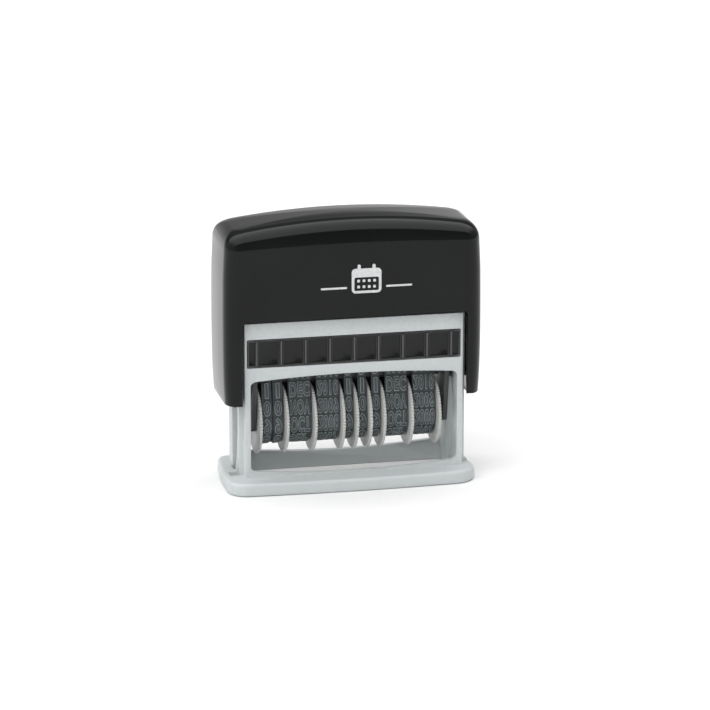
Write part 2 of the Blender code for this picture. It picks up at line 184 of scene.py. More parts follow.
def gloss_black(name):
    """Polished black moulding with hairline polishing haze and faint sink ripples."""
    m = Nodes(name)
    ripple = m.bump(m.noise(70.0, 1.0), strength=0.05, distance=0.0002)
    m.set(
        Base_Color=m.ramp(m.noise(40.0, 3.0), (0.004, 0.005, 0.0045), (0.006, 0.007, 0.0065)),
        Roughness=m.span(m.noise(240.0, 6.0, 0.7), 0.06, 0.11),
        Normal=m.bump(m.noise(2600.0, 2.0), strength=0.03, distance=0.00002, normal=ripple),
        Specular_IOR_Level=0.2,
    )
    return m.mat


def rubber(name, low, high):
    """Vulcanised type rubber: a dusty blue-grey skin, mottled, with a fine matt grain."""
    m = Nodes(name)
    m.set(
        Base_Color=m.ramp(m.noise(700.0, 5.0, 0.65), low, high),
        Roughness=m.span(m.noise(500.0, 4.0), 0.45, 0.62),
        Normal=m.bump(m.noise(3800.0, 3.0), strength=0.25, distance=0.00003),
    )
    return m.mat


def steel(name):
    """Drawn wire: fine marks and slight tarnish."""
    m = Nodes(name)
    m.set(
        Base_Color=m.ramp(m.noise(300.0, 4.0), (0.46, 0.46, 0.47), (0.62, 0.62, 0.62), at=(0.35, 0.65)),
        Metallic=1.0,
        Roughness=m.span(m.noise(1200.0, 4.0), 0.22, 0.4),
        Normal=m.bump(m.noise(6000.0, 2.0), strength=0.15, distance=0.00001),
    )
    return m.mat


def foam(name):
    """Ink-soaked open-cell foam."""
    m = Nodes(name)
    voronoi = m.tree.nodes.new("ShaderNodeTexVoronoi")
    voronoi.inputs["Scale"].default_value = 2600.0
    m.tree.links.new(m.coord, voronoi.inputs["Vector"])
    cells = voronoi.outputs["Distance"]
    # The colour darkens towards each cell's sunken middle: painted shade in the pores.
    m.set(
        Base_Color=m.ramp(cells, (0.006, 0.007, 0.018), (0.028, 0.032, 0.075), at=(0.1, 0.6)),
        Roughness=m.span(m.noise(900.0), 0.65, 0.95),
        Normal=m.bump(cells, strength=0.9, distance=0.0002),
    )
    return m.mat


def printed(name):
    """Pad-printed light grey ink, slightly uneven."""
    m = Nodes(name)
    m.set(
        Base_Color=m.ramp(m.noise(1800.0, 3.0), (0.52, 0.53, 0.54), (0.66, 0.67, 0.68)),
        Roughness=m.span(m.noise(900.0), 0.35, 0.5),
        Normal=m.bump(m.noise(5000.0), strength=0.15, distance=0.00001),
    )
    return m.mat


FRAME_GREY = moulded("frame_grey_moulded", (0.495, 0.53, 0.535), rough=0.42, vary=0.02, grain=0.22, edge=0.12)
WHEEL_GREY = moulded("wheel_grey_moulded", (0.465, 0.475, 0.46), rough=0.45, vary=0.04, grain=0.25, edge=0.25)
PAD_BLACK = moulded(
    "pad_black_moulded", (0.006, 0.0065, 0.0065), rough=0.16, vary=0.15, grain=0.06, edge=0.1, spec=0.28
)
CARRIAGE_BLACK = moulded(
    "carriage_black_moulded", (0.014, 0.016, 0.016), rough=0.42, vary=0.15, grain=0.3, edge=0.05, spec=0.35
)
CAP_BLACK = gloss_black("cap_gloss_black")
RUBBER = rubber("band_rubber", (0.036, 0.045, 0.047), (0.053, 0.065, 0.068))
# The type's printing faces take a lighter copy of the rubber than the belt: painted light on the raised faces,
# with the belt between them left darker as painted shade.
TYPE_LIT_FACE = rubber("band_type_face", (0.050, 0.061, 0.064), (0.070, 0.084, 0.088))
# The type's bevelled edges take a light copy of the rubber: a painted highlight where the edges would catch
# the light.
TYPE_PAINTED_HIGHLIGHT = rubber("band_type_edge", (0.27, 0.305, 0.31), (0.38, 0.42, 0.43))
STEEL = steel("spring_steel_drawn")
FOAM = foam("ink_foam_cells")
PRINT = printed("cap_print")

# ---------------------------------------------------------------------------------------- outlines


def rectangle(a, b):
    """The corners of a rectangle from its two spans."""
    return [(a[0], b[0]), (a[1], b[0]), (a[1], b[1]), (a[0], b[1])]


def circle(a, b, r, n):
    turns = [2 * math.pi * i / n for i in range(n)]
    return [(a + r * math.cos(turn), b + r * math.sin(turn)) for turn in turns]


def mirrored(side, a, b):
    """The span from a to b on one side, 1 or -1, as lowest and highest."""
    return sorted((side * a, side * b))


def rounded(points, radii, steps=8):
    """The outline with each corner turned into an arc. radii is one radius, or one for each corner."""
    if not isinstance(radii, list):
        radii = [radii] * len(points)
    out = []
    for i, (px, py) in enumerate(points):
        r = radii[i]
        if r <= 0:
            out.append((px, py))
            continue
        ax, ay = points[i - 1][0] - px, points[i - 1][1] - py
        bx, by = points[(i + 1) % len(points)][0] - px, points[(i + 1) % len(points)][1] - py
        la, lb = math.hypot(ax, ay), math.hypot(bx, by)
        ax, ay, bx, by = ax / la, ay / la, bx / lb, by / lb
        half = math.acos(max(-1.0, min(1.0, ax * bx + ay * by))) / 2
        reach = r / math.tan(half)
        mx, my = ax + bx, ay + by
        lm = math.hypot(mx, my)
        cx, cy = px + mx / lm * r / math.sin(half), py + my / lm * r / math.sin(half)
        start = math.atan2(py + ay * reach - cy, px + ax * reach - cx)
        end = math.atan2(py + by * reach - cy, px + bx * reach - cx)
        sweep = (end - start + math.pi) % (2 * math.pi) - math.pi
        arc = [start + sweep * k / steps for k in range(steps + 1)]
        out += [(cx + r * math.cos(turn), cy + r * math.sin(turn)) for turn in arc]
    return out


def hull(points):
    """The convex outline round a set of points."""
    points = sorted(set((round(x, 5), round(y, 5)) for x, y in points))

    def turns_back(a, b, c):
        return (b[0] - a[0]) * (c[1] - a[1]) - (b[1] - a[1]) * (c[0] - a[0]) <= 1e-7

    def half(seq):
        out = []
        for p in seq:
            while len(out) > 1 and turns_back(out[-2], out[-1], p):
                out.pop()
            out.append(p)
        return out[:-1]

    return half(points) + half(points[::-1])


# ------------------------------------------------------------------------------------------ meshes


def shade(mesh, angle):
    mesh.shade_smooth()
    mesh.set_sharp_from_angle(angle=math.radians(angle))


def new_object(name, verts, faces, angle=35.0, merge=True):
    """A mesh from points in tower millimetres, sharp where it turns by over angle. It sits at the origin."""
    mesh = bpy.data.meshes.new(name)
    mesh.from_pydata([(x * MM, (y + CENTRE_Y) * MM, z * MM) for x, y, z in verts], [], faces)
    bm = bmesh.new()
    bm.from_mesh(mesh)
    if merge:
        bmesh.ops.remove_doubles(bm, verts=bm.verts, dist=1e-7)
    bmesh.ops.recalc_face_normals(bm, faces=bm.faces)
    bm.to_mesh(mesh)
    bm.free()
    made = bpy.data.objects.new(name, mesh)
    collection.objects.link(made)
    shade(mesh, angle)
    return made


def stack(rings, wrap=False):
    """Points and faces of a skin over equal rings, closed by end caps or by a return to the first."""
    n, count = len(rings[0]), len(rings)
    verts = [point for ring in rings for point in ring]
    faces = []
    for level in range(count if wrap else count - 1):
        a, b = level * n, ((level + 1) % count) * n
        faces += [(a + i, a + (i + 1) % n, b + (i + 1) % n, b + i) for i in range(n)]
    if not wrap:
        faces += [tuple(reversed(range(n))), tuple(range((count - 1) * n, count * n))]
    return verts, faces


def at_height(outline, z):
    return [(x, y, z) for x, y in outline]


def prism(outline, span, axis, name="tool"):
    """An outline extruded along an axis. Its points are (y, z) along x, (x, z) along y and (x, y) along z."""
    at = "xyz".index(axis)
    return new_object(name, *stack([[p[:at] + (k,) + p[at:] for p in outline] for k in span]))


def box(x, y, z, name="tool"):
    return prism(rectangle(x, y), z, "z", name)


def boolean(target, tool, operation):
    modifier = target.modifiers.new(tool.name, "BOOLEAN")
    modifier.operation = operation
    modifier.solver = "EXACT"
    modifier.object = tool


def cut(target, tool):
    boolean(target, tool, "DIFFERENCE")


def join(target, tool):
    boolean(target, tool, "UNION")


def settle(target, bevel=0.0, segments=2, angle=35.0):
    """Apply a piece's Booleans, drop their tools, and bevel the edges sharper than angle a little."""
    tools = [modifier.object for modifier in target.modifiers]
    if bevel:
        modifier = target.modifiers.new("edges", "BEVEL")
        modifier.width = bevel * MM
        modifier.segments = segments
        modifier.limit_method = "ANGLE"
        modifier.angle_limit = math.radians(angle)
    graph = bpy.context.evaluated_depsgraph_get()
    mesh = bpy.data.meshes.new_from_object(target.evaluated_get(graph))
    target.modifiers.clear()
    target.data = mesh
    for tool in tools:
        bpy.data.objects.remove(tool, do_unlink=True)
    shade(mesh, angle)


def paint(obj, *looks):
    obj.data.materials.clear()
    for look in looks:
        obj.data.materials.append(look)


def dress(obj, looks, body, slot, *replaced):
    """Give a piece its materials and the body it rides on, and hide the CAD nodes it stands for. slot is not
    used.
    """
    paint(obj, *looks)
    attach(obj, body)
    if replaced:
        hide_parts(*replaced)


# -------------------------------------------------------------------------------------- base frame

PLATE_X, TOWER_Y, TOWER_Z = 31.0, 11.5, (1.0, 47.7)
RAIL_X, RAIL_Y, RAIL_Z = 32.15, (-8.5, 6.8), (1.2, 47.3)
INNER_X, INNER_Y, DECK_Z = 29.5, 10.0, 43.2
INSIDE = [  # y, z: the room between the plates, with a sloped foot at the rear wall
    (-INNER_Y, -1.0), (6.8, -1.0), (6.8, 0.0), (INNER_Y, 4.2), (INNER_Y, DECK_Z), (-INNER_Y, DECK_Z),
]
FRONT_CUT, REAR_CUT = (-12.5, -9.5), (9.5, 12.5)  # through the front and the rear plate
LEDGE_X, LEDGE_Y, LEDGE_Z = (28.3, 29.9), (-9.4, 9.4), (34.1, 35.0)  # what the drawer runs on
PAD_WINDOW_X, PAD_WINDOW_Z = (-30.4, 30.4), (35.0, DECK_Z)
POCKET_X, POCKET_Y, POCKET_Z = (32.1, 34.7), (-8.4, -4.8), (2.0, 5.0)  # in the flange, beside each rail
SPRING_X, WELL_R, WELL_Z = 18.0, 3.5, (44.5, 48.7)
PEG_REACH, PEG_ROOM, PIN_ROOM = 4.6, 1.45, 1.9  # peg to pin, and the radii that each is given
SLOT_X, SLOT_STEPS = (29.0, 32.65), 48

FLANGE_X, FLANGE_Y = (-36.4, 34.8), (-18.9, 12.0)
FLANGE_BOW, BOW_STEPS = 1.3, 20  # how far the front edge swells forward in its middle
TAPER_LEFT, TAPER_RIGHT, TAPER_Y = 1.6, 1.2, -2.0  # the flange narrows to the rear, on the left from TAPER_Y
CORNER_FRONT_LEFT, CORNER_FRONT_RIGHT, CORNER_REAR, CORNER_TAPER = 5.5, 7.0, 3.0, 30.0
FLANGE_LEVELS = (  # height, and how far the outline is drawn in there
    (0.0, 0.45), (0.12, 0.25), (0.35, 0.08), (0.7, 0.0), (2.55, 0.12),
    (2.95, 0.2), (3.25, 0.38), (3.45, 0.64), (3.54, 0.85), (3.57, 1.1),
)


def flange_outline(inset):
    left, right = FLANGE_X[0] + inset, FLANGE_X[1] - inset
    front, rear = FLANGE_Y[0] + inset, FLANGE_Y[1] - inset
    points, radii = [(left, front + FLANGE_BOW)], [CORNER_FRONT_LEFT - inset]
    for i in range(2, BOW_STEPS - 1):  # the bow's own points stay clear of the corner arcs
        x = left + (right - left) * i / BOW_STEPS
        points.append((x, front + FLANGE_BOW * (1 - 2 * i / BOW_STEPS) ** 2))
        radii.append(0)
    points += [(right, front + FLANGE_BOW), (right - TAPER_RIGHT, rear), (left + TAPER_LEFT, rear)]
    radii += [CORNER_FRONT_RIGHT - inset, CORNER_REAR - inset, CORNER_REAR - inset]
    return rounded(points + [(left, TAPER_Y)], radii + [CORNER_TAPER], 14)


def arched(half_x, low_end, low_mid, high_end, high_mid, corner, steps=24):
    """A window whose lower and upper edges bow between a height at the ends and one in the middle."""
    points, radii = [], []
    for sign, end, mid in ((1, low_end, low_mid), (-1, high_end, high_mid)):
        for i in range(steps + 1):
            x = sign * (-half_x + 2 * half_x * i / steps)
            points.append((x, mid + (end - mid) * (x / half_x) ** 2))
            radii.append(corner if i in (0, steps) else 0)
    return rounded(points, radii)


def cam_slot():
    """Room for the pivot pin, which slides down with the cap, and for the peg that swings half round it."""
    points = []
    for i in range(SLOT_STEPS + 1):
        turn = math.pi * i / SLOT_STEPS
        pin_z = PIVOT_Z - TRAVEL * i / SLOT_STEPS
        points += circle(-PEG_REACH * math.sin(turn), pin_z + PEG_REACH * math.cos(turn), PEG_ROOM, 48)
    for pin_z in (PIVOT_Z, PIVOT_Z - TRAVEL):
        points += circle(0.0, pin_z, PIN_ROOM, 48)
    return hull(points)


def build_frame():
    rings = [at_height(flange_outline(inset), z) for z, inset in FLANGE_LEVELS]
    shell = new_object("frame_shell", *stack(rings))
    join(shell, box((-PLATE_X, PLATE_X), (-TOWER_Y, TOWER_Y), TOWER_Z))
    join(shell, box((-RAIL_X, RAIL_X), RAIL_Y, RAIL_Z))
    cut(shell, prism(INSIDE, (-INNER_X, INNER_X), "x"))
    for side in SIDES:
        join(shell, box(mirrored(side, *LEDGE_X), LEDGE_Y, LEDGE_Z))
    wheel_window = arched(29.4, low_end=5.3, low_mid=3.75, high_end=31.0, high_mid=32.2, corner=1.6)
    pad_window = rounded(rectangle(PAD_WINDOW_X, PAD_WINDOW_Z), 0.5)
    rear_window = arched(INNER_X, low_end=5.3, low_mid=3.75, high_end=29.4, high_mid=29.4, corner=1.0)
    cut(shell, prism(wheel_window, FRONT_CUT, "y"))
    cut(shell, prism(pad_window, FRONT_CUT, "y"))
    cut(shell, prism(rear_window, REAR_CUT, "y"))
    slot = cam_slot()
    for side in SIDES:
        cut(shell, prism(slot, mirrored(side, *SLOT_X), "x"))
        cut(shell, box(mirrored(side, *POCKET_X), POCKET_Y, POCKET_Z))
        cut(shell, prism(circle(side * SPRING_X, 0.0, WELL_R, 48), WELL_Z, "z"))
    settle(shell, bevel=0.22, angle=40.0)
    dress(shell, [FRAME_GREY], "base", "frame_grey", "base_frame")


build_frame()

# ----------------------------------------------------------------------------------- pad cartridge

FACE_X, FACE_Y, FACE_Z = (-30.1, 30.1), (-11.3, -10.1), (35.25, 42.9)
TRAY_X, TRAY_Y, TRAY_Z = (-29.2, 29.2), (-10.4, 9.4), (35.25, 42.6)
FOAM_ROOM_X, FOAM_ROOM_Y, FOAM_ROOM_Z = (-27.7, 27.7), (-9.1, 8.2), (34.0, 41.4)  # open below
RIBS, RIB_PITCH, RIB_HALF = 9, 6.9, 0.22
RIB_PROFILE = [(-11.6, 35.65), (-11.6, 42.5), (-11.0, 42.7), (-11.0, 35.45)]  # y, z
PANEL_X, END_PANEL_X = (0.75, 6.15), (28.1, 29.75)  # sunk panels: from each rib, and at the face's ends
PANEL_Z, PANEL_CUT, PANEL_CORNER = (35.75, 42.4), (-11.5, -10.85), 0.3

FOAM_X, FOAM_Y, FOAM_CORNER = 27.35, (-8.75, 7.85), 1.2
FOAM_LEVELS = (  # height, and how far the outline is drawn in there
    (41.05, 0.5), (40.9, 0.1), (40.6, 0.0), (36.0, 0.0), (35.6, 0.1), (35.35, 0.4), (35.28, 0.9),
)


def sunk_panel(outline):
    return prism(rounded(outline, PANEL_CORNER, 4), PANEL_CUT, "y")


def build_drawer():
    drawer = box(FACE_X, FACE_Y, FACE_Z, "pad_drawer")
    join(drawer, box(TRAY_X, TRAY_Y, TRAY_Z))
    cut(drawer, box(FOAM_ROOM_X, FOAM_ROOM_Y, FOAM_ROOM_Z))
    for i in range(RIBS):
        x = (i - (RIBS - 1) // 2) * RIB_PITCH
        join(drawer, prism(RIB_PROFILE, (x - RIB_HALF, x + RIB_HALF), "x"))
        if i < RIBS - 1:
            cut(drawer, sunk_panel(rectangle((x + PANEL_X[0], x + PANEL_X[1]), PANEL_Z)))
    for side in SIDES:
        ends = (side * END_PANEL_X[0], side * END_PANEL_X[1])
        cut(drawer, sunk_panel(rectangle(ends, PANEL_Z)[::side]))
    settle(drawer, bevel=0.1, angle=40.0)
    dress(drawer, [PAD_BLACK], "pad", "pad_black", "pad_cartridge")


def build_foam():
    rings = []
    for z, inset in FOAM_LEVELS:
        plan = rectangle((-FOAM_X + inset, FOAM_X - inset), (FOAM_Y[0] + inset, FOAM_Y[1] - inset))
        rings.append(at_height(rounded(plan, FOAM_CORNER, 6), z))
    pad = new_object("foam_pad", *stack(rings), angle=60.0)
    dress(pad, [FOAM], "pad", "ink_foam", "ink_pad")


build_drawer()
build_foam()

# --------------------------------------------------------------------------------------------- cap

CAP_FOOT_Z, SHOULDER_Z, CROWN_Z = 18.0, 68.0, 76.0  # the loft starts below the legs' ends, which are cut
CAP_SIDES = (  # height, half width, half depth
    (CAP_FOOT_Z, 35.8, 12.9), (24.6, 36.15, 13.05), (31.0, 36.45, 13.2), (40.0, 36.6, 13.35),
    (50.0, 36.6, 13.4), (60.0, 36.5, 13.4), (65.0, 36.3, 13.35), (SHOULDER_Z, 36.15, 13.3),
)
CAP_CORNER, SIDE_STEPS = 5.0, 25
CROWN_DROP, CROWN_HALF = 2.1, 30.0  # the crown is lower by CROWN_DROP at CROWN_HALF from the middle
TOP_BOW = 0.28  # how far the top's edge is below its crown line
FULLNESS = 0.82  # below 1, the shoulder is fuller than a quarter circle
SHOULDER_STEPS, SHOULDER_END = 24, 86  # steps, and the angle in degrees where the top takes over
# Half width, half depth and corner: each where the shoulder ends, and what is added where it starts.
SHOULDER_PLAN = ((32.0, 4.15), (5.8, 7.5), (2.4, 2.6))
TOP_PLAN, TOP_RINGS = (32.4, 6.2, 2.4), (0.9, 0.75, 0.6, 0.45, 0.3, 0.15)

ROOM_X, ROOM_Y, ROOM_CORNER, ROOM_Z = 32.55, 11.9, 0.8, (10.0, 68.3)
ROOM_ROUND_X, ROOM_ROUND_Y, ROOM_RISE = 3.0, 3.7, 3.7  # the ceiling's rounding
NOTCH_X, NOTCH_Z, NOTCH_CORNER = (-31.9, 31.9), (10.0, 48.6), 1.2  # front and back, over the frame's plates
LEG_END_Z, LEG_Y, LEG_FRONT_R, LEG_REAR_R = 24.4, 13.9, 2.0, 5.0
PIN_HOLE_X = (32.0, 34.7)


def plan_ring(half_x, half_y, corner, height, steps=10, along=20):
    """A rounded rectangle seen from above, with along spans at front and back.

    height is the ring's z, or a function that gives z at x.
    """
    out = []
    for k, (sx, sy, start) in enumerate(((1, 1, 0), (-1, 1, 90), (-1, -1, 180), (1, -1, 270))):
        cx, cy = sx * (half_x - corner), sy * (half_y - corner)
        for i in range(steps + 1):
            t = math.radians(start + 90 * i / steps)
            out.append((cx + corner * math.cos(t), cy + corner * math.sin(t)))
        if k in (0, 2):
            out += [(cx - sx * 2 * (half_x - corner) * i / along, sy * half_y) for i in range(1, along)]
    return [(x, y, height(x) if callable(height) else height) for x, y in out]


def crown(x):
    return CROWN_Z - CROWN_DROP * (x / CROWN_HALF) ** 2


def smooth_between(table, z):
    """Catmull-Rom value of each column of a table keyed by its first column."""
    keys = [row[0] for row in table]
    i = next(k for k in range(len(keys) - 1) if z <= keys[k + 1])
    t = (z - keys[i]) / (keys[i + 1] - keys[i])
    out = []
    for column in range(1, len(table[0])):
        p = [table[max(0, min(len(table) - 1, i + d))][column] for d in (-1, 0, 1, 2)]
        out.append(0.5 * (2 * p[1] + (p[2] - p[0]) * t + (2 * p[0] - 5 * p[1] + 4 * p[2] - p[3]) * t * t
                          + (3 * p[1] - p[0] - 3 * p[2] + p[3]) * t ** 3))
    return out


def cap_skin():
    """Rings up the sides, over the shoulder and in to the middle of the top."""
    rings = []
    for i in range(SIDE_STEPS + 1):
        z = CAP_FOOT_Z + (SHOULDER_Z - CAP_FOOT_Z) * i / SIDE_STEPS
        rings.append(plan_ring(*smooth_between(CAP_SIDES, z), CAP_CORNER, z))
    for step in range(1, SHOULDER_STEPS + 1):
        t = math.radians(SHOULDER_END * step / SHOULDER_STEPS)
        c = math.cos(t) ** FULLNESS
        s = (math.sin(t) / math.sin(math.radians(SHOULDER_END))) ** FULLNESS
        plan = [top + added * c for top, added in SHOULDER_PLAN]
        rings.append(plan_ring(*plan, lambda x: SHOULDER_Z + (crown(x) - TOP_BOW - SHOULDER_Z) * s))
    for k in TOP_RINGS:
        rings.append(plan_ring(*[size * k for size in TOP_PLAN], lambda x: crown(x) - TOP_BOW * k * k))
    return rings


def cap_room():
    """Rings of the hollow inside, up its walls and over its ceiling."""
    rings = [plan_ring(ROOM_X, ROOM_Y, ROOM_CORNER, z, 5, 4) for z in ROOM_Z]
    for step in range(1, 9):
        t = math.radians(90 * step / 8)
        c, s = math.cos(t), math.sin(t)
        rings.append(plan_ring(ROOM_X - ROOM_ROUND_X * (1 - c), ROOM_Y - ROOM_ROUND_Y * (1 - c), ROOM_CORNER,
                               ROOM_Z[1] + ROOM_RISE * s, 5, 4))
    return rings


def build_cap():
    cap = new_object("cap_body", *stack(cap_skin()), angle=50.0)
    cut(cap, new_object("tool", *stack(cap_room())))
    notch = rounded(rectangle(NOTCH_X, NOTCH_Z), [0, 0, NOTCH_CORNER, NOTCH_CORNER])
    cut(cap, prism(notch, (-16.0, 16.0), "y"))
    # y, z: all that lies below the legs' ends, with the legs' lower corners rounded.
    below = [(-20.0, 10.0), (20.0, 10.0), (20.0, 50.0), (LEG_Y, 50.0), (LEG_Y, LEG_END_Z),
             (-LEG_Y, LEG_END_Z), (-LEG_Y, 30.0), (-20.0, 30.0)]
    cut(cap, prism(rounded(below, [0, 0, 0, 0, LEG_REAR_R, LEG_FRONT_R, 0, 0], 16), (-40.0, 40.0), "x"))
    for side in SIDES:
        cut(cap, prism(circle(0.0, PIVOT_Z, PIN_ROOM, 40), mirrored(side, *PIN_HOLE_X), "x"))
    settle(cap, bevel=0.3, segments=3, angle=45.0)
    dress(cap, [CAP_BLACK], "cap", "cap_black", "cap_shell")


build_cap()

# ------------------------------------------------------------------------------------------ wheels

DISC_T = 1.0
DISC_RIGHT = [v - PLATE_X for v in (5.5, 13.1, 21.1, 29.1, 33.0, 36.9, 40.8, 48.7, 56.6)]
DISC_LEFT = [v - DISC_T for v in DISC_RIGHT]
SPLIT = (DISC_RIGHT[0] + DISC_LEFT[1]) / 2  # between the first two digit bands, which share one bay
GAP = 0.3  # between a hub or a band and the next disc
BORE_R, HUB_R, FACE_R, STEP_R, TIP_R = 1.8, 5.8, 8.8, 9.05, 9.8
TEETH, NOTCH_DEPTH, RIM_STEP, RIM_DROP = 66, 0.34, 0.1, 0.22


def hub_span(i):
    """Where a wheel's hub runs. The first wheel's is on its right, and every other's on its left."""
    if i == 0:
        return DISC_RIGHT[0], SPLIT - GAP / 2
    if i == 1:
        return SPLIT + GAP / 2, DISC_LEFT[1]
    return DISC_RIGHT[i - 1] + GAP, DISC_LEFT[i]


def build_wheel(i):
    """A thin disc with a finely notched rim, stepped faces and a hub."""
    low, high = hub_span(i)
    a, b = DISC_LEFT[i], DISC_RIGHT[i]
    rim = [  # x, radius, whether it is notched
        (a, FACE_R, False), (a + RIM_STEP, STEP_R, False), (a + RIM_STEP, TIP_R - RIM_DROP, True),
        (a + 2 * RIM_STEP, TIP_R, True), (b - 2 * RIM_STEP, TIP_R, True),
        (b - RIM_STEP, TIP_R - RIM_DROP, True), (b - RIM_STEP, STEP_R, False), (b, FACE_R, False),
    ]
    if i == 0:
        start, end = [(a, BORE_R)], [(b, HUB_R), (high, HUB_R), (high, BORE_R)]
    else:
        start, end = [(low, BORE_R), (low, HUB_R), (a, HUB_R)], [(b, BORE_R)]
    stations = [(*s, False) for s in start] + rim + [(*s, False) for s in end]
    n = TEETH * 4
    rings = []
    for x, radius, notched in stations:
        ring = []
        for k in range(n):
            t = 2 * math.pi * (k + 0.5) / n
            r = radius - NOTCH_DEPTH if notched and k % 4 > 1 else radius
            ring.append((x, r * math.cos(t), AXLE_Z + r * math.sin(t)))
        rings.append(ring)
    number = i + 1
    wheel = new_object("index_wheel_%d" % number, *stack(rings, wrap=True), angle=30.0)
    dress(wheel, [WHEEL_GREY], "wheel_%d" % number, "wheel_grey", "wheel_%d" % number)


# ------------------------------------------------------------------------------------------- bands

BAND_T, TYPE_H = 0.6, 0.45  # the belt's thickness, and the type's height over it
BAND_R, NOSE_HALF, NOSE_R = 6.1, 3.7, 1.5  # its inner radius at the hub, and the bridge's nose

# One half of the belt's inner face: flat on the nose, round its corner, straight down, and round the hub.
nose_top = TYPE_TOP - BAND_T - TYPE_H
nose_z, nose_y = nose_top - NOSE_R, NOSE_HALF - NOSE_R  # the middle of the nose's corner
reach = math.hypot(nose_y, nose_z - AXLE_Z)
lean = math.asin((BAND_R - NOSE_R) / reach) - math.atan2(nose_y, nose_z - AXLE_Z)
out_angle = math.pi - lean  # the way the straight run faces
out_dir = (math.cos(out_angle), math.sin(out_angle))
down_dir = (-out_dir[1], out_dir[0])
run = math.sqrt(reach ** 2 - (BAND_R - NOSE_R) ** 2)
LENGTHS = (nose_y, NOSE_R * (out_angle - math.pi / 2), run, BAND_R * (1.5 * math.pi - out_angle))
HALF_LOOP = sum(LENGTHS)
LOOP = 2 * HALF_LOOP

COUNT = 12
STRETCH = 0.75  # the places stand wider apart over the nose, where the band is stretched, than under the hub
PLACES = [k * (LOOP / COUNT) + STRETCH * math.sin(math.pi * k / 6) for k in range(COUNT)]
PLATFORM_H, PLATFORM_GAP, PLATFORM_RAMP, PLATFORM_STEPS = 0.12, 0.28, 0.1, 8
BAND_CHAMFER, CHAMFER_DEPTH = 0.07, 0.12  # in from each side, and as a share of the way to the inner face

GLYPH_HEIGHT = 4.35
GLYPH_WIDTH = {"digit": 2.1, "month": 5.75, "year": 5.95}
TYPE_FOOT, TYPE_SHORT = 0.02, 0.03  # a glyph starts this far over the belt, and is this much lower than TYPE_H
DIGIT_MARGIN = 0.22  # the least that a narrow band leaves beside its digits
NARROW_ONE = 0.5  # the width of a 1, against the other digits
GLYPH_STRIPS = 8  # strips that let a glyph bend with the band
TOP_FROM = 0.98  # share of a glyph's height above which a point is on its printing face
MONTHS = "JAN FEB MAR APR MAY JUN JUL AUG SEP OCT NOV DEC".split()
KINDS = ("digit", "digit", "month", "year", "digit", "digit", "digit", "month", "year")


def on_path(s):
    """Point and outward normal (y, z) at s along a band's inner face, from the top centre to the front."""
    s = s % LOOP
    mirror = s > HALF_LOOP
    if mirror:
        s = LOOP - s
    if s <= LENGTHS[0]:
        point, normal = (-s, nose_top), (0.0, 1.0)
    elif s <= LENGTHS[0] + LENGTHS[1]:
        t = math.pi / 2 + (s - LENGTHS[0]) / NOSE_R
        normal = (math.cos(t), math.sin(t))
        point = (-nose_y + NOSE_R * normal[0], nose_z + NOSE_R * normal[1])
    elif s <= LENGTHS[0] + LENGTHS[1] + LENGTHS[2]:
        d = s - LENGTHS[0] - LENGTHS[1]
        normal = out_dir
        point = (
            -nose_y + NOSE_R * normal[0] + down_dir[0] * d,
            nose_z + NOSE_R * normal[1] + down_dir[1] * d,
        )
    else:
        t = out_angle + (s - LENGTHS[0] - LENGTHS[1] - LENGTHS[2]) / BAND_R
        normal = (math.cos(t), math.sin(t))
        point = (BAND_R * normal[0], AXLE_Z + BAND_R * normal[1])
    if mirror:
        return (-point[0], point[1]), (-normal[0], normal[1])
    return point, normal


def characters(kind):
    """What stands at each place, from the printing face towards the front. Two digit places are blank."""
    if kind == "digit":
        return [str((3 - k) % 10) if k < 10 else "" for k in range(COUNT)]
    if kind == "month":
        return [MONTHS[(1 - k) % COUNT] for k in range(COUNT)]
    return [str(2012 - k) for k in range(COUNT)]


def glyph_mesh(text, width, height):
    """Raised lettering with bevelled edges, as a bmesh in millimetres whose z runs from 0 to 1."""
    font = bpy.data.curves.new("type", "FONT")
    font.body = text
    font.resolution_u = 3
    font.extrude = 0.1
    font.bevel_depth = 0.024
    font.bevel_resolution = 0
    font.offset = 0.03
    font.space_character = 1.12
    holder = bpy.data.objects.new("type", font)
    collection.objects.link(holder)
    bpy.context.view_layer.update()
    mesh = bpy.data.meshes.new_from_object(holder.evaluated_get(bpy.context.evaluated_depsgraph_get()))
    bpy.data.objects.remove(holder, do_unlink=True)
    bm = bmesh.new()
    bm.from_mesh(mesh)
    bmesh.ops.remove_doubles(bm, verts=bm.verts, dist=1e-5)
    spans = [(min(v.co[a] for v in bm.verts), max(v.co[a] for v in bm.verts)) for a in range(3)]
    for v in bm.verts:
        unit = [(v.co[a] - spans[a][0]) / (spans[a][1] - spans[a][0]) for a in range(3)]
        v.co = ((unit[0] - 0.5) * width, (unit[1] - 0.5) * height, unit[2])
    for k in range(1 - GLYPH_STRIPS // 2, GLYPH_STRIPS // 2):
        parts = bm.verts[:] + bm.edges[:] + bm.faces[:]
        level = (0, k * height / GLYPH_STRIPS, 0)
        bmesh.ops.bisect_plane(bm, geom=parts, plane_co=level, plane_no=(0, 1, 0), dist=1e-6)
    bmesh.ops.triangulate(bm, faces=[f for f in bm.faces if len(f.verts) > 4])
    return bm


